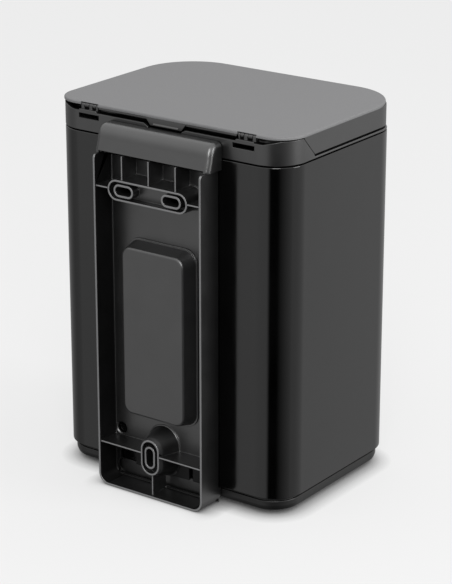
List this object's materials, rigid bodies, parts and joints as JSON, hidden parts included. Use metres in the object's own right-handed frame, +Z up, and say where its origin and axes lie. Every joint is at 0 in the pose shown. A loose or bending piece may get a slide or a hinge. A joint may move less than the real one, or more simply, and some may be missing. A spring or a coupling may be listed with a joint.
{
  "type": "wall-mountable waste bin",
  "caption": "Upright rectangular kitchen waste bin with a lacquered steel sleeve, hinged lid, lift-out bucket and a hood that hooks over a plastic wall bracket.",
  "frame": {"origin": "on the floor, under the middle of the object's box", "axes": "+Z up, +Y towards the wall, so the front faces -Y, and +X towards the bin's own left, which is on the right of a person who looks at its front"},
  "size_m": [0.2276, 0.1956, 0.3108],
  "materials": {
    "gloss_steel": "black lacquered steel sheet, satin gloss",
    "matte_steel": "dark grey powder-coated steel, matte",
    "plastic": "moulded black plastic, fine eroded texture",
    "bucket_plastic": "moulded black plastic, smooth matte",
    "rubber": "soft black rubber",
    "zinc_steel": "zinc-plated steel"
  },
  "bodies": {
    "bracket": {"wall_bracket": "plastic", "bracket_spacer": "plastic"},
    "bin": {"body_shell": "gloss_steel", "base_tray": "plastic", "collar": "plastic", "inner_bucket": "bucket_plastic", "hook_hood": "plastic", "foot_front_left": "rubber", "foot_front_right": "rubber", "foot_rear_left": "rubber", "foot_rear_right": "rubber", "hinge_pin_left": "zinc_steel", "hinge_pin_right": "zinc_steel", "hook_screw_left": "zinc_steel", "hook_screw_right": "zinc_steel"},
    "lid": {"lid_plate": "matte_steel", "lid_frame": "plastic", "lid_liner": "plastic", "lid_screw_front_left": "zinc_steel", "lid_screw_front_right": "zinc_steel", "lid_screw_rear_left": "zinc_steel", "lid_screw_rear_right": "zinc_steel", "lid_bumper_left": "rubber", "lid_bumper_right": "rubber"}
  },
  "joints": [
    {"name": "bin_lift", "type": "slide", "parent": "bracket", "child": "bin", "axis": [0, 0, 1], "range_m": [0, 0.3]},
    {"name": "lid_hinge", "type": "hinge", "parent": "bin", "child": "lid", "pos_m": [0, 0.0691, 0.3074], "axis": [-1, 0, 0], "range_deg": [0, 95]}
  ]
}
